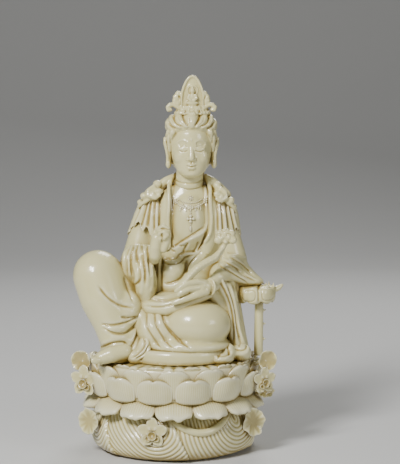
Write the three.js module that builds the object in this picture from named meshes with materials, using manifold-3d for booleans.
// A seated porcelain Guanyin on a lotus and wave plinth, with one arm resting on a lotus leaf.
// Units are millimetres, +Z is up, the figure faces -Y, and the origin is the middle of the underside.
// Left and right are as the viewer sees them.
import * as THREE from "three";
import { mergeVertices } from "three/addons/utils/BufferGeometryUtils.js";
import Module from "manifold-3d";

const wasm = await Module();
wasm.setup();

// Driving dimensions of the plinth
const waveHeight = 58; // the carved water, from the floor to the lotus
const waveRadius = 88; // the widest part of the water
const footRadius = 74; // where the water stands on the floor
const curlCount = 6; // breaking waves round the water
const waveRelief = 3; // how far the waves swell from the water's wall
const lotusHeight = 42; // the lotus throne above the water
const lotusRadius = 86; // the throne's drum, under its petals
const petalCount = 14; // petals in each of the three rows
const petalHeight = 29; // upright petals
const petalThickness = 7;
const drapedPetalReach = 20; // the petals that hang over the water
const drapedPetalDrop = 16;
const sprayStalk = 3; // radius of the stalks that carry the leaves and flowers
// Driving dimensions of the figure and its armrest
const figureHeight = 300; // from the top of the lotus to the tip of the crown
const seatRadius = 62; // the low drum under the robe
const seatThickness = 14;
const armrestHeight = 76; // from the lotus to the top of the leaf
const stemRadius = 4.7;
const leafWidth = 46;
const leafDepth = 40;
const restingGap = 0.4; // clearance where one piece stands on another
const sleeveGap = 1; // clearance under the sleeve that lies on the leaf
// How finely the modelled forms are meshed
const figureCell = 2.5;
const figureTriangles = 5720;
const armrestCell = 1.8;
const armrestTriangles = 680;
const plinthTriangles = 3420;

const plinthHeight = waveHeight + lotusHeight;
const share = figureHeight / 300; // every form of the figure is a share of its height

// Fields: a form is a function of x, y and z that is negative inside. Forms are blended, carved and then
// meshed, which suits modelled clay better than joining hard-edged shapes.

const { abs, atan2, ceil, cos, exp, floor, max, min, PI, round, sin, sqrt } = Math;
const hypot = (x, y, z = 0) => sqrt(x * x + y * y + z * z);
const clamp = (value, low, high) => min(max(value, low), high);
const mix = (a, b, t) => a + (b - a) * t;

function form(distance, centre, reach) {
  distance.centre = centre;
  distance.reach = reach;
  return distance;
}

// An egg-shaped lump with half-sizes radii, turned by Euler angles in degrees.
function egg(centre, radii, turn = [0, 0, 0]) {
  const angles = turn.map(THREE.MathUtils.degToRad);
  const m = new THREE.Matrix4().makeRotationFromEuler(new THREE.Euler(...angles)).transpose().elements;
  const [cx, cy, cz] = centre;
  const [rx, ry, rz] = radii;
  return form(
    (x, y, z) => {
      const dx = x - cx;
      const dy = y - cy;
      const dz = z - cz;
      const px = (m[0] * dx + m[4] * dy + m[8] * dz) / rx;
      const py = (m[1] * dx + m[5] * dy + m[9] * dz) / ry;
      const pz = (m[2] * dx + m[6] * dy + m[10] * dz) / rz;
      const inner = hypot(px, py, pz);
      return inner < 1e-6 ? -min(rx, ry, rz) : (inner * (inner - 1)) / hypot(px / rx, py / ry, pz / rz);
    },
    centre,
    max(...radii),
  );
}

// A round limb through points, each given as [x, y, z, radius].
function limb(...points) {
  const bones = points.slice(1).map((b, i) => {
    const a = points[i];
    const [ux, uy, uz] = [b[0] - a[0], b[1] - a[1], b[2] - a[2]];
    return { a, ux, uy, uz, thicker: b[3] - a[3], lengthSquared: ux * ux + uy * uy + uz * uz };
  });
  const end = points[points.length - 1];
  const centre = [0, 1, 2].map((i) => (points[0][i] + end[i]) / 2);
  const reachOf = ([x, y, z, radius]) => hypot(x - centre[0], y - centre[1], z - centre[2]) + radius;
  const reach = max(...points.map(reachOf));
  return form(
    (x, y, z) => {
      let best = Infinity;
      for (const { a, ux, uy, uz, thicker, lengthSquared } of bones) {
        const vx = x - a[0];
        const vy = y - a[1];
        const vz = z - a[2];
        const t = clamp((vx * ux + vy * uy + vz * uz) / lengthSquared, 0, 1);
        best = min(best, hypot(vx - t * ux, vy - t * uy, vz - t * uz) - a[3] - t * thicker);
      }
      return best;
    },
    centre,
    reach,
  );
}

// An upright body with an oval section at each level. A level is [z, centre x, centre y, half width,
// half depth].
function column(...levels) {
  const last = levels.length - 1;
  const [bottom, top] = [levels[0][0], levels[last][0]];
  return (x, y, z) => {
    const level = clamp(z, bottom, top);
    let i = 0;
    while (i < last - 1 && level > levels[i + 1][0]) i++;
    const [low, high] = [levels[i], levels[i + 1]];
    const t = (level - low[0]) / (high[0] - low[0]);
    const a = mix(low[3], high[3], t);
    const b = mix(low[4], high[4], t);
    const across = (x - mix(low[1], high[1], t)) / a;
    const deep = (y - mix(low[2], high[2], t)) / b;
    const side = (hypot(across, deep) - 1) * min(a, b);
    return max(side, bottom - z, z - top);
  };
}

const smoothMin = (a, b, softness) => {
  const h = max(softness - abs(a - b), 0) / softness;
  return min(a, b) - (h * h * softness) / 4;
};

// Joins forms, with a fillet of the given softness where they meet.
const blend = (softness, ...forms) => (x, y, z) => {
  let nearest = 1e3;
  for (const one of forms) {
    const c = one.centre;
    if (c && hypot(x - c[0], y - c[1], z - c[2]) - one.reach > nearest + softness) continue;
    nearest = smoothMin(nearest, one(x, y, z), softness);
  }
  return nearest;
};

// Takes one form out of another, with a softened edge.
const carve = (softness, body, tool) => (x, y, z) => -smoothMin(-body(x, y, z), tool(x, y, z), softness);

// A fold: a line through [x, z] points as seen from the front or the back. Depth is positive for a crease
// and negative for a ridge, and it fades to nothing over width and at both ends.
const [front, back] = [-1, 1];
const foldPlane = 4; // folds in front of this depth are on the front

function fold(side, width, depth, ...line) {
  const curve = new THREE.CatmullRomCurve3(line.map(([x, z]) => new THREE.Vector3(x, 0, z)));
  const points = curve.getPoints(line.length * 2);
  const box = new THREE.Box3().setFromPoints(points).expandByScalar(2.2 * width);
  return (x, y, z) => {
    if (x < box.min.x || x > box.max.x || z < box.min.z || z > box.max.z) return 0;
    if ((y - foldPlane) * side < 0) return 0;
    let best = Infinity;
    let along = 0;
    for (let i = 1; i < points.length; i++) {
      const a = points[i - 1];
      const ux = points[i].x - a.x;
      const uz = points[i].z - a.z;
      const t = clamp(((x - a.x) * ux + (z - a.z) * uz) / (ux * ux + uz * uz), 0, 1);
      const d = hypot(x - a.x - t * ux, z - a.z - t * uz);
      if (d < best) {
        best = d;
        along = (i - 1 + t) / (points.length - 1);
      }
    }
    const fade = min(1, 5 * min(along, 1 - along) + 0.15);
    return depth * fade * exp(-((best / width) ** 2));
  };
}

const foldReach = 7; // folds matter only this near to the surface

const folded = (body, folds) => (x, y, z) => {
  let distance = body(x, y, z);
  if (abs(distance) > foldReach) return distance;
  for (const one of folds) distance += one(x, y, z);
  return distance;
};

// Meshes the zero level of a field on a grid, by splitting each cell into six tetrahedra. Only the blocks of
// cells that lie near the surface are looked at.

const tetrahedra = [[0, 1, 3, 7], [0, 3, 2, 7], [0, 2, 6, 7], [0, 6, 4, 7], [0, 4, 5, 7], [0, 5, 1, 7]];

function surfaceOf(field, low, high, cell) {
  const block = 6;
  const blocks = [0, 1, 2].map((i) => ceil((high[i] - low[i]) / cell / block));
  const [across, deep, tall] = blocks.map((n) => n * block + 1);
  const total = across * deep * tall;
  const xOf = (id) => low[0] + (id % across) * cell;
  const yOf = (id) => low[1] + (floor(id / across) % deep) * cell;
  const zOf = (id) => low[2] + floor(id / across / deep) * cell;
  const values = new Float64Array(total).fill(NaN);
  const points = [];
  const faces = [];
  const cut = new Map();
  const vertexOn = (a, b) => {
    const key = a < b ? a * total + b : b * total + a;
    let vertex = cut.get(key);
    if (vertex === undefined) {
      const t = clamp(values[a] / (values[a] - values[b]), 0.06, 0.94);
      vertex = points.length / 3;
      points.push(mix(xOf(a), xOf(b), t), mix(yOf(a), yOf(b), t), mix(zOf(a), zOf(b), t));
      cut.set(key, vertex);
    }
    return vertex;
  };
  const addFace = (a, b, c, inner, outer) => {
    const [ux, uy, uz] = [0, 1, 2].map((i) => points[3 * b + i] - points[3 * a + i]);
    const [vx, vy, vz] = [0, 1, 2].map((i) => points[3 * c + i] - points[3 * a + i]);
    const out =
      (uy * vz - uz * vy) * (xOf(outer) - xOf(inner)) +
      (uz * vx - ux * vz) * (yOf(outer) - yOf(inner)) +
      (ux * vy - uy * vx) * (zOf(outer) - zOf(inner));
    if (out > 0) faces.push(a, b, c);
    else faces.push(a, c, b);
  };
  const meshCell = (corner) => {
    const ids = [];
    let inside = 0;
    for (let n = 0; n < 8; n++) {
      const id = corner + (n & 1) + ((n >> 1) & 1) * across + (n >> 2) * across * deep;
      if (Number.isNaN(values[id])) values[id] = field(xOf(id), yOf(id), zOf(id)) || 1e-9;
      if (values[id] < 0) inside++;
      ids.push(id);
    }
    if (inside === 0 || inside === 8) return;
    for (const tetrahedron of tetrahedra) {
      const ins = tetrahedron.filter((n) => values[ids[n]] < 0).map((n) => ids[n]);
      const outs = tetrahedron.filter((n) => values[ids[n]] >= 0).map((n) => ids[n]);
      if (!ins.length || !outs.length) continue;
      const ring =
        ins.length === 2
          ? [...outs.map((o) => vertexOn(ins[0], o)), ...outs.map((o) => vertexOn(ins[1], o)).reverse()]
          : ins.flatMap((i) => outs.map((o) => vertexOn(i, o)));
      for (let v = 2; v < ring.length; v++) addFace(ring[0], ring[v - 1], ring[v], ins[0], outs[0]);
    }
  };
  const near = block * cell * 0.9 + foldReach;
  for (let c = 0; c < blocks[2]; c++)
    for (let b = 0; b < blocks[1]; b++)
      for (let a = 0; a < blocks[0]; a++) {
        const [x, y, z] = [a, b, c].map((n, axis) => low[axis] + (n + 0.5) * block * cell);
        if (abs(field(x, y, z)) > near) continue;
        for (let k = c * block; k < (c + 1) * block; k++)
          for (let j = b * block; j < (b + 1) * block; j++)
            for (let i = a * block; i < (a + 1) * block; i++) meshCell(i + across * (j + deep * k));
      }
  return { points, faces };
}

// Thins a closed mesh in rounds. Each round closes up the cheapest edges that don't touch each other, and
// puts the vertex that is left where it changes the shape least. The cost is the weighted squared distance to
// the planes of the faces that have gone into the vertex, kept as a symmetric 4 by 4 matrix of ten numbers.
function thin({ points, faces }, target, weight = () => 1) {
  const count = points.length / 3;
  const at = Float64Array.from(points);
  const quadrics = new Float64Array(10 * count);
  const normal = [0, 0, 0];
  const findNormal = (a, b, c) => {
    const [ux, uy, uz] = [0, 1, 2].map((i) => at[3 * b + i] - at[3 * a + i]);
    const [vx, vy, vz] = [0, 1, 2].map((i) => at[3 * c + i] - at[3 * a + i]);
    normal[0] = uy * vz - uz * vy;
    normal[1] = uz * vx - ux * vz;
    normal[2] = ux * vy - uy * vx;
    return hypot(normal[0], normal[1], normal[2]);
  };
  for (let f = 0; f < faces.length; f += 3) {
    const size = findNormal(faces[f], faces[f + 1], faces[f + 2]) || 1e-12;
    const [x, y, z] = normal.map((value) => value / size);
    const a = 3 * faces[f];
    const d = -(x * at[a] + y * at[a + 1] + z * at[a + 2]);
    const w = size * weight(at[a], at[a + 1], at[a + 2]);
    const terms = [x * x, x * y, x * z, x * d, y * y, y * z, y * d, z * z, z * d, d * d];
    for (let i = 0; i < 3; i++) {
      for (let n = 0; n < 10; n++) quadrics[10 * faces[f + i] + n] += w * terms[n];
    }
  }
  const q = new Float64Array(10);
  const spot = [0, 0, 0];
  // The cost of closing an edge up, with the best place left in spot. A light pull to the edge's middle
  // keeps the place from sliding away on flat ground.
  const costOf = (a, b) => {
    for (let n = 0; n < 10; n++) q[n] = quadrics[10 * a + n] + quadrics[10 * b + n];
    const pull = 1e-3 * (q[0] + q[4] + q[7]) + 1e-9;
    const xx = q[0] + pull;
    const yy = q[4] + pull;
    const zz = q[7] + pull;
    const rx = (pull * (at[3 * a] + at[3 * b])) / 2 - q[3];
    const ry = (pull * (at[3 * a + 1] + at[3 * b + 1])) / 2 - q[6];
    const rz = (pull * (at[3 * a + 2] + at[3 * b + 2])) / 2 - q[8];
    const cx = yy * zz - q[5] * q[5];
    const cy = q[2] * q[5] - q[1] * zz;
    const cz = q[1] * q[5] - q[2] * yy;
    const det = xx * cx + q[1] * cy + q[2] * cz;
    const yz = q[1] * q[2] - q[5] * xx;
    const x = (rx * cx + ry * cy + rz * cz) / det;
    const y = (rx * cy + ry * (xx * zz - q[2] * q[2]) + rz * yz) / det;
    const z = (rx * cz + ry * yz + rz * (xx * yy - q[1] * q[1])) / det;
    spot[0] = x;
    spot[1] = y;
    spot[2] = z;
    const bent =
      q[0] * x * x + q[4] * y * y + q[7] * z * z + q[9] +
      2 * (q[1] * x * y + q[2] * x * z + q[3] * x + q[5] * y * z + q[6] * y + q[8] * z);
    const dx = at[3 * a] - at[3 * b];
    const dy = at[3 * a + 1] - at[3 * b + 1];
    const dz = at[3 * a + 2] - at[3 * b + 2];
    return bent + 1e-4 * (dx * dx + dy * dy + dz * dz);
  };

  let corners = Int32Array.from(faces);
  let keen = 0.15; // the share of the edges that a round may close
  const marks = new Int32Array(count);
  let stamp = 0;
  while (corners.length / 3 > target) {
    const first = new Int32Array(count + 1);
    for (let i = 0; i < corners.length; i++) first[corners[i] + 1]++;
    for (let v = 0; v < count; v++) first[v + 1] += first[v];
    const filled = first.slice();
    const facesAt = new Int32Array(corners.length);
    for (let i = 0; i < corners.length; i++) facesAt[filled[corners[i]]++] = i - (i % 3);

    const edges = [];
    for (let i = 0; i < corners.length; i++) {
      const next = i % 3 === 2 ? i - 2 : i + 1;
      if (corners[i] < corners[next]) edges.push(corners[i], corners[next]);
    }
    const costs = new Float64Array(edges.length / 2);
    for (let e = 0; e < costs.length; e++) costs[e] = costOf(edges[2 * e], edges[2 * e + 1]);
    const limit = costs.slice().sort()[floor(keen * (costs.length - 1))];

    const touched = new Uint8Array(count);
    const sharedNeighbours = (a, b) => {
      stamp += 2;
      let shared = 0;
      for (let i = first[a]; i < first[a + 1]; i++)
        for (let n = 0; n < 3; n++) marks[corners[facesAt[i] + n]] = stamp;
      for (let i = first[b]; i < first[b + 1]; i++)
        for (let n = 0; n < 3; n++) {
          const v = corners[facesAt[i] + n];
          if (v === a || v === b || marks[v] !== stamp) continue;
          marks[v] = stamp + 1;
          shared++;
        }
      return shared;
    };
    const normalsRound = (v, other) => {
      const found = [];
      for (let i = first[v]; i < first[v + 1]; i++) {
        const f = facesAt[i];
        if (corners[f] === other || corners[f + 1] === other || corners[f + 2] === other) continue;
        found.push(findNormal(corners[f], corners[f + 1], corners[f + 2]), ...normal);
      }
      return found;
    };
    const moveTo = (v, place) => {
      for (let i = 0; i < 3; i++) at[3 * v + i] = place[i];
    };
    // Moves both ends of an edge to the spot, or leaves them if a face there would turn over.
    const closeUp = (a, b) => {
      const [wasA, wasB] = [at.slice(3 * a, 3 * a + 3), at.slice(3 * b, 3 * b + 3)];
      const was = [...normalsRound(a, b), ...normalsRound(b, a)];
      moveTo(a, spot);
      moveTo(b, spot);
      const now = [...normalsRound(a, b), ...normalsRound(b, a)];
      for (let i = 0; i < was.length; i += 4) {
        const dot = was[i + 1] * now[i + 1] + was[i + 2] * now[i + 2] + was[i + 3] * now[i + 3];
        if (now[i] > 1e-3 && dot > 0.25 * was[i] * now[i]) continue;
        moveTo(a, wasA);
        moveTo(b, wasB);
        return false;
      }
      return true;
    };
    let spare = corners.length / 3 - target;
    let closed = 0;
    for (let e = 0; e < costs.length && spare > 0; e++) {
      if (costs[e] > limit) continue;
      const [a, b] = [edges[2 * e], edges[2 * e + 1]];
      if (touched[a] || touched[b] || sharedNeighbours(a, b) !== 2) continue;
      costOf(a, b);
      if (!closeUp(a, b)) continue;
      for (let n = 0; n < 10; n++) quadrics[10 * a + n] += quadrics[10 * b + n];
      for (const v of [a, b])
        for (let i = first[v]; i < first[v + 1]; i++)
          for (let n = 0; n < 3; n++) touched[corners[facesAt[i] + n]] = 1;
      for (let i = first[b]; i < first[b + 1]; i++)
        for (let n = 0; n < 3; n++) if (corners[facesAt[i] + n] === b) corners[facesAt[i] + n] = a;
      spare -= 2;
      closed++;
    }
    if (!closed && keen === 1) break;
    if (!closed) keen = min(1, 2 * keen);
    let left = 0;
    for (let f = 0; f < corners.length; f += 3) {
      const [a, b, c] = [corners[f], corners[f + 1], corners[f + 2]];
      if (a === b || b === c || c === a) continue;
      corners.set([a, b, c], left);
      left += 3;
    }
    corners = corners.subarray(0, left);
  }
  const kept = [...new Set(corners)];
  const place = new Map(kept.map((v, i) => [v, i]));
  return {
    points: kept.flatMap((v) => [at[3 * v], at[3 * v + 1], at[3 * v + 2]]),
    faces: Array.from(corners, (v) => place.get(v)),
  };
}

// Solids

function solidOf({ points, faces }) {
  return new wasm.Manifold(
    new wasm.Mesh({
      numProp: 3,
      vertProperties: Float32Array.from(points),
      triVerts: Uint32Array.from(faces),
    }),
  );
}

// A solid from a closed geometry whose points are moved by a function of x, y and z.
function shaped(geometry, move) {
  const plain = geometry.clone();
  plain.deleteAttribute("normal");
  plain.deleteAttribute("uv");
  const position = plain.attributes.position;
  for (let i = 0; i < position.count; i++)
    position.setXYZ(i, ...move(position.getX(i), position.getY(i), position.getZ(i)));
  const merged = mergeVertices(plain, 1e-3);
  const faces = [...merged.index.array].filter((_, i, all) => {
    const [a, b, c] = all.slice(i - (i % 3), i - (i % 3) + 3);
    return a !== b && b !== c && c !== a;
  });
  return solidOf({ points: merged.attributes.position.array, faces });
}

function arraysOf(solid) {
  const mesh = solid.getMesh();
  return { points: Array.from(mesh.vertProperties), faces: Array.from(mesh.triVerts) };
}

const joined = (solids) => solids.reduce((whole, one) => whole.add(one));
const largest = (solid) => solid.decompose().reduce((a, b) => (a.volume() > b.volume() ? a : b));

// Cuts a solid off flat at z = 0. Forms that stand are modelled a little deeper than that.
const footDepth = 2;

const groundSize = 600; // a block wider than any of the pieces

function cutFlat(solid) {
  const ground = new THREE.BoxGeometry(groundSize, groundSize, groundSize).translate(0, 0, -groundSize / 2);
  return largest(solid.subtract(shaped(ground, (x, y, z) => [x, y, z])));
}

// The figure, drawn at a height of 300 with z = 0 on the lotus.

const bodyAxis = 14; // she leans towards the armrest, so her middle is off the plinth's axis
const headCentre = [19, -2, 222];
const shoulders = [-23, 51]; // where the shoulders are, left and right
const robeBottom = [6, -14]; // the middle of the seat

function robedTrunk() {
  return blend(
    10,
    column(
      [30, 6, 10, 50, 42],
      [62, 8, 10, 46, 36],
      [95, 11, 8, 44, 30],
      [125, 13, 7, 42, 27],
      [150, bodyAxis, 6, 40, 24],
      [168, 15, 5, 33, 20],
      [182, 16, 4, 22, 16],
      [190, 16, 3, 14, 13],
    ),
    limb([bodyAxis, 6, 166, 14], [-21, 7, 157, 12], [-33, 7, 130, 14], [-39, 4, 102, 17]),
    limb([bodyAxis, 6, 166, 14], [49, 7, 157, 12], [56, 6, 130, 15], [62, 3, 103, 17]),
    egg([17, -8, 142], [22, 20, 34]), // the bare chest
    egg([0, -22, 92], [15, 17, 14]), // the belly
    egg([8, -8, 78], [36, 30, 20]),
  );
}

// The shoulder cape falls over both upper arms and ends in deep pointed folds.
function cape(side) {
  const middle = shoulders[side < 0 ? 0 : 1];
  const shoulder = limb(
    [middle - 4 * side, 6, 166, 15],
    [middle + 4 * side, 7, 150, 15],
    [middle + 8.5 * side, 6, 124, 16.5],
  );
  return (x, y, z) => {
    const turn = atan2(y - 7, (x - middle) * side);
    const hem = (131 + 9 * abs(sin(2.5 * turn + 0.5)) - z) * 0.8;
    return max(shoulder(x, y, z), hem);
  };
}

// Knots of cloth on the shoulders, where the scarf is gathered.
function shoulderKnots() {
  const knots = [-1, 1].map((side) => {
    const across = (offset) => 15 + side * offset;
    return blend(
      2.5,
      egg([across(33), 0, 183], [6.5, 7, 5.5]),
      egg([across(31), -11, 177], [5, 5, 5.5]),
      egg([across(37), -12, 168], [5.5, 5, 5]),
      egg([across(49), 1, 165], [5, 7, 4.5]),
    );
  });
  return blend(2, ...knots);
}

// The arm on the left is raised, and its wide sleeve hangs in two lobes.
function raisedSleeve() {
  return blend(
    5,
    limb([-39, 3, 103, 17], [-34, -24, 112, 12.5], [-23, -42, 115, 9.5]),
    egg([-42, -22, 97], [14, 18, 18]),
    egg([-29, -38, 85], [11, 12.5, 24.5], [4, -4, 0]),
    limb([-19, -27, 104, 3.4], [-17, -28, 66, 3.6]), // the straight edge of the robe beside it
  );
}

// The other arm lies on the armrest, and its sleeve falls beside the knee to the lotus.
function restingSleeve() {
  const leafTop = armrestHeight / share;
  return blend(
    6,
    limb([63, 1, 101, 17], [57, -26, 94, 13], [44, -44, 88, 9]),
    limb([63, 0, 97, 16], [70, -8, 89, 12], [82, -13, leafTop + 7, 8], [90, -14, leafTop + 4, 4]),
    limb([56, -28, 95, 9], [72, -20, 86, 7], [84, -17, leafTop + 4, 4]),
    limb([50, -36, 90, 11], [59, -33, 66, 8.5], [63, -30, 42, 8], [68, -28, 18, 11.5], [69, -28, 6, 11]),
    limb([50, -20, 86, 14], [57, -14, 50, 12], [62, -12, 22, 14], [63, -10, 8, 14]),
  );
}

// The bent leg on the left, with the knee high and the foot on the lotus.
function raisedLeg() {
  return blend(
    8,
    limb([-80, -27, 89, 26], [-66, -18, 74, 25], [-38, -6, 50, 26], [-16, 2, 36, 25]),
    limb([-80, -28, 88, 26], [-73, -34, 66, 25.5], [-64, -40, 42, 21], [-60, -44, 22, 17]),
    egg([-52, -34, 52], [20, 22, 24], [0, 20, 0]),
    egg([-52, -42, 22], [20, 17, 22]),
    egg([-42, -44, 12], [12, 14, 15]),
  );
}

function bareFoot() {
  return blend(
    2,
    limb([-54, -54, 14, 8.5], [-68, -60, 8, 8], [-80, -63, 6, 6]),
    ...[0, 1, 2, 3].map((i) => egg([-84 + 2.4 * i, -66.5 + 4.4 * i, 5], [4, 2.4, 3.4], [0, 0, 30])),
  );
}

// The folded leg lies across the front of the seat.
function foldedLeg() {
  return blend(
    5,
    egg([25, -41, 39], [35.5, 32, 26.5], [0, 3, 6]),
    limb([20, 0, 36, 26], [38, -18, 40, 22]),
    egg([-14, -40, 33], [25, 22, 19]),
    egg([-31, -52, 12], [9, 11, 15], [0, 10, 0]), // cloth bunched at the ankle
  );
}

// The robe's edge lies across the lap.
function lap() {
  return blend(
    5,
    limb([-38, -28, 62, 9], [-22, -44, 59, 9], [-6, -50, 60, 8.5], [12, -52, 66, 8], [28, -48, 72, 8]),
    egg([4, -28, 62], [40, 26, 14]),
  );
}

function seat() {
  const [x, y] = robeBottom;
  const radius = seatRadius / share;
  const thickness = seatThickness / share;
  return column(
    [-footDepth, x, y, radius - 3, radius - 2],
    [3, x, y, radius, radius],
    [thickness, x, y, radius, radius - 1],
  );
}

// Hems that spill from the seat onto the lotus.
function hems() {
  return blend(
    4,
    egg([41, -60, 6], [10, 9, 8]),
    egg([54, -53, 6], [10, 10, 9], [0, 0, 30]),
    egg([66, -44, 5], [9, 9, 8]),
    egg([0, 34, 14], [60, 20, 24]),
    egg([-34, 14, 14], [30, 32, 22]),
  );
}

function head() {
  const [cx, cy, cz] = headCentre;
  const skull = egg([cx, cy + 1, cz + 4], [21.5, 25, 29]);
  const jaw = egg([cx, cy - 6, cz - 13], [17, 17.5, 16.5]);
  const face = blend(6, skull, jaw);
  const hairMass = egg([cx, cy + 3, cz + 13], [28.5, 29, 26]);
  const faceOpening = (x, y, z) => {
    const across = abs(x - cx);
    return max(across - 21, z - cz - 21 + (across * across) / 60, y - cy + 4);
  };
  const ears = [-1, 1].map((side) => [
    limb(
      [cx + side * 25, cy + 3, cz + 9, 4],
      [cx + side * 25, cy + 1, cz - 6, 3],
      [cx + side * 22.5, cy, cz - 18, 4],
    ),
  ]);
  const lids = [-1, 1].map((side) => egg([cx + side * 9.2, cy - 21.4, cz], [6, 3.2, 3.4]));
  return blend(
    1.2,
    blend(
      3,
      face,
      limb([cx, cy - 23, cz + 4, 1.6], [cx, cy - 26.5, cz - 6, 2.7]),
      ...lids,
      egg([cx, cy - 22.6, cz - 14.5], [5, 2.6, 2]),
    ),
    carve(1, blend(6, hairMass, egg([cx, cy + 9, cz - 5], [23.5, 18, 25])), faceOpening),
    egg([cx, cy + 3, cz + 38], [15, 14, 12]),
    ...ears.flat(),
    limb([16, 4, 170, 16], [cx - 2, 1, 200, 14.5]),
  );
}

// Combed locks that sweep back from the brow, and the creases of the neck.
const hairFolds = [
  ...[-1, 1].flatMap((side) => {
    const [cx, , cz] = headCentre;
    const lock = (...line) => fold(front, 1.8, 2.2, ...line.map(([x, z]) => [cx + side * x, cz + z]));
    return [
      lock([5.5, 22], [7, 28], [9, 37]),
      lock([10, 21], [17.5, 25], [21, 34]),
      lock([20, 16], [25, 23], [26, 31]),
      lock([22, 4], [26, 10], [30, 20]),
      ...[4, 13, 21].map((x) => side * x).map((x) => {
        return fold(back, 2.4, 2, [cx + 0.5 * x, cz + 38], [cx + x, cz + 15], [cx + x, cz - 14]);
      }),
    ];
  }),
  ...[184, 178].map((z) => fold(front, 1.4, 0.9, [2, z + 2], [16, z], [30, z + 2])),
];

function crown() {
  const [cx, cy, cz] = headCentre;
  const y = cy - 6;
  const sides = [-1, 1].map((side) =>
    blend(
      1.5,
      egg([cx + side * 13, y + 1, 276.5], [6, 4.6, 8.5], [0, -10 * side, 0]),
      limb(
        [cx + side * 8, y, 262, 4.6],
        [cx + side * 17, y, 266.5, 3.6],
        [cx + side * 22.5, y, 265.5, 3.6],
        [cx + side * 24, y, 261.5, 3],
      ),
    ),
  );
  return blend(
    1.5,
    ...sides,
    egg([cx, y, 276.2], [11, 5, 23.7]),
    egg([cx, y - 2.6, 266], [7.5, 4.6, 3.4]), // the lotus under the small seated figure
    egg([cx, y - 3, 273], [5.4, 4.4, 6.5]),
    egg([cx, y - 3.2, cz + 59.5], [3, 3.4, 3.8]),
    limb([cx - 15, y + 2, 260, 5], [cx, y - 3, 260, 5], [cx + 15, y + 2, 260, 5]), // the band
    egg([cx, cy + 4, 268], [13, 11, 17]), // the topknot behind it
  );
}

// The raised hand, with the thumb and first finger closed.
function raisedHand() {
  return blend(
    1.5,
    limb([-20, -45, 110, 7], [-17, -50, 120, 6.6]),
    egg([-15, -51, 128], [7.4, 5.4, 8.5], [0, 10, 0]),
    limb([-16, -51, 133, 3], [-14, -55, 141, 2.9], [-8, -59, 143, 2.6]),
    limb([-12, -52, 133, 3], [-9, -56, 142, 2.9], [-4, -60, 142, 2.6]),
    limb([-9, -53, 128, 3.2], [-4, -58, 133, 2.9], [-5, -60, 139, 2.5]),
  );
}

// The hand in the lap lies palm up, and a cuff ends its sleeve.
function lapHand() {
  return blend(
    1.5,
    limb([42, -48, 84, 9], [34, -56, 81, 7.5]),
    egg([24, -60, 80.5], [10.5, 6.5, 5.5]),
    limb([20, -62, 83, 3], [8, -65, 81, 2.7]),
    limb([20, -63, 78.5, 3], [5, -66, 75.5, 2.6]),
  );
}

// The sceptre that she holds: a cloud-shaped head on a curved stem.
function sceptre() {
  return blend(
    2,
    limb([50, -50, 120, 3.8], [44, -53, 108, 4], [32, -57, 105, 4.2], [20, -60, 99, 4.2], [9, -61, 88, 3.8]),
    egg([52, -51, 128], [9.5, 5, 7.5], [14, 0, 0]),
    egg([44.5, -51, 125], [5.5, 4.6, 5]),
    egg([59.5, -51, 126], [5.5, 4.6, 5]),
    egg([52, -50, 134], [6, 4.6, 4.6]),
  );
}

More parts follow.
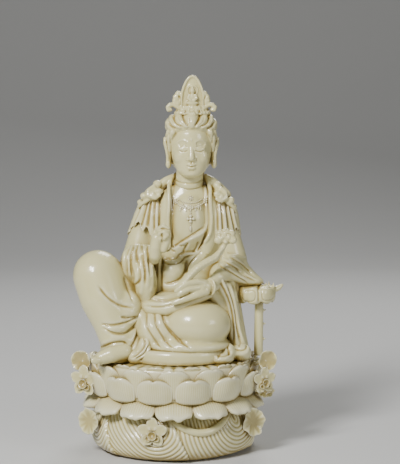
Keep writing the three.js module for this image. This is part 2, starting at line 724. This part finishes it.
// Creases and ridges of the robe
const crease = (width, ...line) => fold(front, 1.2 * width, 2.8, ...line);
const ridge = (width, ...line) => fold(front, 1.2 * width, -2.2, ...line);
const robeFolds = [
  crease(2, [0, 192], [-0.5, 172], [-2, 146]), // the edges of the open robe
  crease(2, [31.5, 190], [33, 166], [33, 140], [31, 116]),
  ridge(2.4, [-5, 190], [-6, 170], [-8, 146]),
  ridge(2.4, [38, 188], [39, 160], [39, 126]),
  crease(2, [-13, 178], [-14.5, 161], [-14, 143]),
  crease(2, [45, 171], [47, 150], [44, 130]),
  ridge(2.4, [33, 140], [23, 133], [12, 127], [-1, 121]), // the wrap across the chest
  crease(2, [31, 131], [26, 120], [21, 113]),
  crease(2, [16, 125], [12, 116], [6, 110], [-10, 103]),
  crease(2.2, [-2, 114], [8, 112], [18, 113]),
  crease(2.2, [34, 119], [25, 109], [18, 96], [10, 86]),
  crease(2.2, [-13, 100], [-13, 84], [-3, 79], [9, 84]), // under the belly
  crease(2, [-22, 110], [-24, 92], [-22, 66]),
  crease(2, [-14.5, 107], [-14, 92], [-13, 66]),
  crease(2.6, [-60, 105], [-49, 80], [-41, 61], [-36, 45]), // between the raised leg and the lap
  crease(2.2, [-79, 80], [-66, 67], [-55, 61], [-42, 57]), // behind the raised knee
  crease(2, [-52, 87], [-48, 75], [-43, 61]),
  crease(2.2, [-77, 42], [-58, 37], [-39, 42]),
  crease(2.2, [-75, 31], [-61, 28], [-48, 36], [-36, 42]),
  crease(2.2, [-62, 24], [-50, 29], [-43, 23], [-50, 8]),
  crease(2.4, [-34, 46], [-34, 31], [-43, 15], [-48, 4]),
  crease(2, [-27, 30], [-36, 17], [-27, 11], [-35, 3]),
  crease(2.2, [-12, 49], [-6, 35], [3, 24], [20, 14]), // drapery over the folded leg
  crease(2.2, [-22, 49], [-19, 35], [-6, 16]),
  crease(2, [-33, 49], [-28, 32], [-22, 16]),
  crease(2.4, [-38, 54], [-22, 49], [-6, 50], [12, 57], [26, 64]),
  ridge(2.6, [-36, 60], [-22, 56], [-6, 57], [12, 64]),
  crease(2.4, [46, 84], [57, 66], [61, 36], [57, 16]), // behind the folded knee
  crease(2.2, [52, 92], [63, 66], [66, 36], [72, 10]),
  crease(2, [49, 22], [52, 12], [56, 2]),
  crease(2.2, [-35, 115], [-32, 98], [-35, 84], [-42, 80]), // the raised sleeve
  crease(2, [-41, 120], [-45, 106], [-46, 92]),
  crease(2.2, [48, 99], [58, 87], [70, 77]), // the sleeve on the armrest
  crease(2, [60, 103], [72, 94], [84, 85]),
  crease(2, [58, 113], [68, 118], [76, 116]),
  crease(2, [-24, 164], [-31, 152], [-36, 137]), // the cape
  crease(2, [-21, 164], [-24, 150], [-25, 134]),
  crease(2, [54, 162], [54, 146], [55, 131]),
  crease(2, [58, 162], [63, 149], [68, 133]),
  ...[-34, -14, 6, 26, 46, 62].flatMap((x, i) => [
    fold(back, 3.4, 2.6, [mix(bodyAxis, x, 0.7), 160], [x, 118 - 3 * (i % 2)], [x + 3, 70], [1.15 * x, 8]),
    fold(back, 3.2, -1.8, [x + 9, 130], [x + 11, 80], [1.1 * x + 12, 14]),
  ]),
];

// The box that the figure's forms lie in
const figureBounds = {
  low: [-112, -84, -footDepth - figureCell],
  high: [102, 66, 304],
};

function figure() {
  const sculpted = blend(
    2,
    robedTrunk(),
    cape(-1),
    cape(1),
    shoulderKnots(),
    raisedSleeve(),
    restingSleeve(),
    raisedLeg(),
    foldedLeg(),
    lap(),
    seat(),
    hems(),
  );
  const robe = folded(sculpted, robeFolds);
  const combed = folded(head(), hairFolds);
  const whole = blend(0.8, robe, combed, crown(), raisedHand(), lapHand(), sceptre(), bareFoot());
  const deeper = (x, y, z) => max(whole(x, y, z), -z - footDepth);
  const mesh = surfaceOf(deeper, figureBounds.low, figureBounds.high, figureCell);
  const detail = (x, y, z) => (z > 190 || (y < -46 && z > 70) ? 4 : 1); // the head and hands keep more faces
  const { points, faces } = thin(mesh, figureTriangles, detail);
  return cutFlat(solidOf({ points: points.map((value) => value * share), faces }));
}

const armrestAxis = [lotusRadius + 2, -11 * share]; // the middle of the leaf that her arm rests on
const stemPlace = [armrestAxis[0] + 3, armrestAxis[1]]; // where its stem stands

// The plinth: carved water, a ring of draped petals, the lotus throne, and leaves and flowers luted to
// its rim.

const pitch = (2 * PI) / petalCount;
const upright = (geometry) => geometry.rotateX(PI / 2); // turns the library's +Y up into +Z up
const lathe = (profile, segments) =>
  upright(new THREE.LatheGeometry(profile.map(([r, z]) => new THREE.Vector2(r, z)), segments));

const ringSpacing = 18; // between the swells that ring a curl

// Water that swells in rings round each breaking curl.
function water() {
  const wall = new THREE.SplineCurve(
    [
      [footRadius - 2, -footDepth],
      [mix(footRadius, waveRadius, 0.6), 0.06 * waveHeight],
      [waveRadius, 0.26 * waveHeight],
      [waveRadius - 2, 0.55 * waveHeight],
      [waveRadius - 12, 0.85 * waveHeight],
      [waveRadius - 20, waveHeight + 3],
    ].map(([r, z]) => new THREE.Vector2(r, z)),
  );
  const profile = [[0, -footDepth], ...wall.getPoints(16).map(({ x, y }) => [x, y]), [0, waveHeight + 3]];
  const swell = (x, y, z) => {
    const r = hypot(x, y);
    const level = z / waveHeight;
    if (r < footRadius / 2 || level <= 0 || level >= 1) return [x, y, z];
    const turn = ((atan2(y, x) + PI / 2) / (2 * PI)) * curlCount;
    const u = ((turn - round(turn)) * 2 * PI * waveRadius) / curlCount;
    const fromCurl = hypot(u, 1.15 * (z - 0.42 * waveHeight));
    const rings = cos((fromCurl * 2 * PI) / ringSpacing) * exp(-fromCurl / 45);
    const grown = 1 + (waveRelief * rings * sin(PI * level) ** 0.5) / r;
    return [x * grown, y * grown, z];
  };
  return shaped(lathe(profile, 96), swell);
}

// A plump petal, squared off and notched at its tip. It grows from one [radius, z] to another.
function petal({ turn, from, to, width, thickness, curl = 0 }) {
  const [growR, growZ] = [to[0] - from[0], to[1] - from[1]];
  const length = hypot(growR, growZ);
  const bend = (x, y, z) => {
    const squarer = 1 + 0.14 * sin(2 * atan2(z, x)) ** 2;
    const tip = max(0, z);
    const notch = 1 - 0.12 * tip * exp(-((x / 0.22) ** 2));
    const t = 0.5 + 0.5 * z * squarer * notch;
    const out = 0.5 * thickness * y + curl * tip ** 3;
    const r = from[0] + t * growR + (out * growZ) / length;
    const angle = (turn + 0.5) * pitch - PI / 2 - (0.5 * width * x * squarer) / r;
    return [r * cos(angle), r * sin(angle), from[1] + t * growZ - (out * growR) / length];
  };
  return shaped(new THREE.SphereGeometry(1, 14, 7), bend);
}

function petals() {
  const width = pitch * lotusRadius;
  const waist = waveHeight + 6;
  const rows = Array.from({ length: petalCount }, (_, i) => [
    petal({
      turn: i + 0.5,
      from: [lotusRadius - 1, plinthHeight - petalHeight - 4],
      to: [lotusRadius + 2.5, plinthHeight - 1.5],
      width: 0.98 * width,
      thickness: petalThickness,
      curl: 1.5,
    }),
    petal({
      turn: i,
      from: [lotusRadius + 0.5, waist - 2],
      to: [lotusRadius + 4.5, waist + petalHeight - 5],
      width: 1.04 * width,
      thickness: petalThickness,
      curl: 2,
    }),
    petal({
      turn: i + 0.5,
      from: [lotusRadius - 10, waist + 1],
      to: [lotusRadius - 10 + drapedPetalReach, waist + 1 - drapedPetalDrop],
      width: 1.08 * width,
      thickness: 0.8 * petalThickness,
      curl: -2,
    }),
  ]);
  return rows.flat();
}

function throne() {
  return shaped(
    lathe(
      [
        [0, waveHeight - 8],
        [lotusRadius - 18, waveHeight - 8],
        [lotusRadius - 4, waveHeight + 4],
        [lotusRadius + 1, plinthHeight - 5],
        [lotusRadius + 1, plinthHeight],
        [0, plinthHeight],
      ],
      56,
    ),
    (x, y, z) => [x, y, z],
  );
}

// A small corbel at the rim, which the armrest's stem stands on.
function bracket() {
  const profile = [[0, -14], [2, -13], [stemRadius + 3, -5], [stemRadius + 3, 0], [0, 0]];
  return shaped(lathe(profile, 12), (x, y, z) => [x + stemPlace[0], y + stemPlace[1], z + plinthHeight]);
}

// Places of the leaves and flowers, as [angle round the plinth, radius, height], and the way each one faces.
const placeOf = ([angle, radius, z]) => {
  const turn = THREE.MathUtils.degToRad(angle);
  return new THREE.Vector3(radius * cos(turn), radius * sin(turn), z);
};

const stalkLength = 24;
const stalkRise = 9;

function stalk(place) {
  const root = placeOf([place[0], place[1] - stalkLength, place[2] - stalkRise]);
  const way = placeOf(place).sub(root);
  const rod = new THREE.CylinderGeometry(sprayStalk, sprayStalk, way.length(), 6);
  const along = way.clone().normalize();
  rod.applyQuaternion(new THREE.Quaternion().setFromUnitVectors(new THREE.Vector3(0, 1, 0), along));
  rod.translate(...root.addScaledVector(way, 0.5));
  return shaped(rod, (x, y, z) => [x, y, z]);
}

// A thick disc, cupped towards the way it faces.
function disc(place, facing, [across, up], width, height, thickness) {
  const centre = placeOf(place);
  const turn = THREE.MathUtils.degToRad(facing);
  const cupped = (x, y, z) => {
    const out = 0.5 * thickness * y + 0.12 * width * (x * x + z * z);
    const side = across - 0.5 * width * x;
    return [
      centre.x + out * cos(turn) - side * sin(turn),
      centre.y + out * sin(turn) + side * cos(turn),
      centre.z + up + 0.5 * height * z,
    ];
  };
  return shaped(new THREE.SphereGeometry(1, 12, 6), cupped);
}

const leaf = (place, facing, width, height) => [disc(place, facing, [0, 0], width, height, 4), stalk(place)];

// An open flower of five petals round a raised eye.
function flower(place, facing, size) {
  const ring = [0, 1, 2, 3, 4].map((i) => {
    const spoke = ((i + 0.25) * 2 * PI) / 5;
    const offset = [0.3 * size * cos(spoke), 0.3 * size * sin(spoke)];
    return disc(place, facing, offset, 0.48 * size, 0.48 * size, 4);
  });
  return [...ring, disc(place, facing, [0, 0], 0.34 * size, 0.34 * size, 9), stalk(place)];
}

function sprays() {
  const high = plinthHeight;
  const outside = lotusRadius + 15;
  return [
    leaf([-165, outside, high - 2], -108, 22, 22),
    flower([-159, outside, high - 22], -120, 30),
    leaf([-19, outside + 3, high - 1], -70, 21, 22),
    flower([-22, outside + 2, high - 22], -58, 26),
    leaf([-14, outside - 1, high - 37], -60, 20, 12),
    leaf([-155, waveRadius + 10, 0.62 * waveHeight], -120, 24, 28),
    leaf([-28, waveRadius + 6, 0.6 * waveHeight], -62, 26, 30),
    flower([-104, waveRadius + 3, 0.58 * waveHeight], -100, 28),
  ].flat();
}

function plinth() {
  const whole = largest(joined([water(), throne(), bracket(), ...petals(), ...sprays()]));
  const detail = (x, y, z) => (z > waveHeight - 10 ? 3 : 1); // the petals keep more faces than the water
  const thinned = solidOf(thin(arraysOf(whole), plinthTriangles, detail));
  return cutFlat(thinned);
}

// The armrest: a lotus leaf, folded down at its rim, on a stem with prickles.

function armrest(sleeve) {
  const [x0, y0] = armrestAxis;
  const [a, b] = [leafWidth / 2, leafDepth / 2];
  const top = armrestHeight;
  const pad = column(
    [top - 19, x0, y0, 0.8 * a, 0.8 * b],
    [top - 14, x0, y0, 0.95 * a, 0.95 * b],
    [top - 6, x0, y0, 0.98 * a, 0.98 * b],
    [top - 1, x0, y0, a, b],
  );
  const scalloped = (x, y, z) => pad(x, y, z) + 1.6 * abs(sin(3.5 * atan2(y - y0, x - x0) + 0.6)) - 0.6;
  const hollow = egg([x0, y0, top - 22], [0.6 * a, 0.6 * b, 12]);
  const prickles = [0.2, 0.42, 0.62, 0.84].map((t, i) =>
    limb(
      [stemPlace[0] + 1, y0, top * t, 1.8],
      [stemPlace[0] + stemRadius + 3, y0 - 1 + 2 * (i % 2), top * t + 2, 0.9],
    ),
  );
  const whole = blend(
    2,
    carve(2, scalloped, hollow),
    limb(
      [x0 + 0.6 * a, y0 + 1, top - 7, 4.5],
      [x0 + 1.1 * a, y0 + 4, top - 4, 3],
      [x0 + 1.24 * a, y0 + 5, top - 1, 1.8],
    ),
    limb([...stemPlace, -footDepth, stemRadius + 0.4], [stemPlace[0] + 0.5, y0, top - 12, stemRadius]),
    ...prickles,
  );
  const clearOfSleeve = (x, y, z) => sleeveGap - share * sleeve(x / share, y / share, z / share);
  const clear = (x, y, z) => max(whole(x, y, z), -z - footDepth, clearOfSleeve(x, y, z));
  const low = [x0 - a - 6, y0 - b - 6, -footDepth - armrestCell];
  const high = [x0 + a + 14, y0 + b + 6, top + 8];
  return cutFlat(solidOf(thin(surfaceOf(clear, low, high, armrestCell), armrestTriangles)));
}

// Assembly

function geometryOf(solid) {
  const { points, faces } = arraysOf(solid);
  const geometry = new THREE.BufferGeometry();
  geometry.setAttribute("position", new THREE.Float32BufferAttribute(points, 3));
  geometry.setIndex(faces);
  geometry.computeVertexNormals();
  return geometry;
}

function piece(name, solid, z, colour) {
  const glaze = new THREE.MeshStandardMaterial({ color: colour, roughness: 0.2, metalness: 0 });
  const mesh = new THREE.Mesh(geometryOf(solid), glaze);
  mesh.name = name;
  mesh.position.z = z;
  return mesh;
}

const ivory = 0xe9e2c6;
const shadedIvory = 0xe4dcbc;
const onLotus = plinthHeight + restingGap;
const group = new THREE.Group();
group.add(piece("lotus_wave_plinth", plinth(), 0, shadedIvory));
group.add(piece("guanyin_figure", figure(), onLotus, ivory));
group.add(piece("lotus_leaf_armrest", armrest(restingSleeve()), onLotus, ivory));

export default group;
